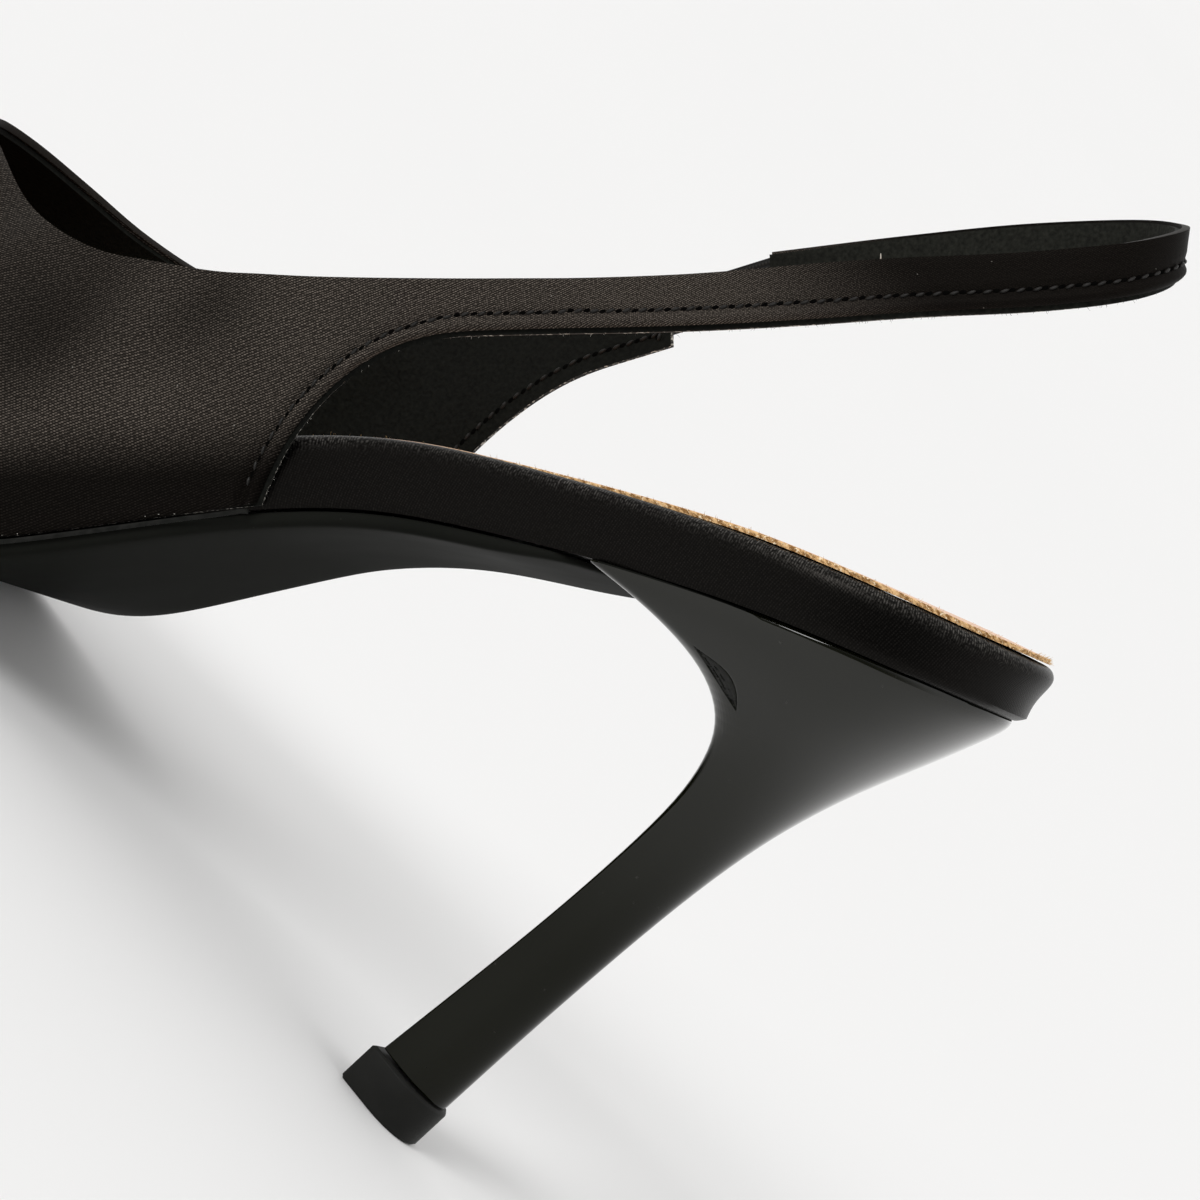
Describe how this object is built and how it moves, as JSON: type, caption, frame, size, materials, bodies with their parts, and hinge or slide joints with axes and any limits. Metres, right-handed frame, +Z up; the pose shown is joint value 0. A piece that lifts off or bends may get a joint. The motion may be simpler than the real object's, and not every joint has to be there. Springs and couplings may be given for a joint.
{
  "type": "slingback pump",
  "caption": "Women's slingback pump with a pointed closed toe, a low throat, a slim high heel and a slack sling strap joined by a short elastic.",
  "frame": {"origin": "middle of the shoe's box, on the floor that it stands on", "axes": "+X to the toe, +Y to the inner side of the right foot, +Z up"},
  "size_m": [0.227, 0.076, 0.1538],
  "materials": {
    "outsole": "smooth semi-matt dark grey",
    "heel": "glossy black moulding",
    "top_piece": "matt dark grey",
    "footbed": "black satin wrap",
    "insole": "tan leather with a raw edge",
    "upper": "black satin with a warm sheen",
    "elastic": "matt black webbing"
  },
  "bodies": {
    "root": {"outsole": "outsole", "heel": "heel", "top_piece": "top_piece", "footbed": "footbed", "insole": "insole", "upper": "upper", "elastic": "elastic"}
  },
  "joints": []
}
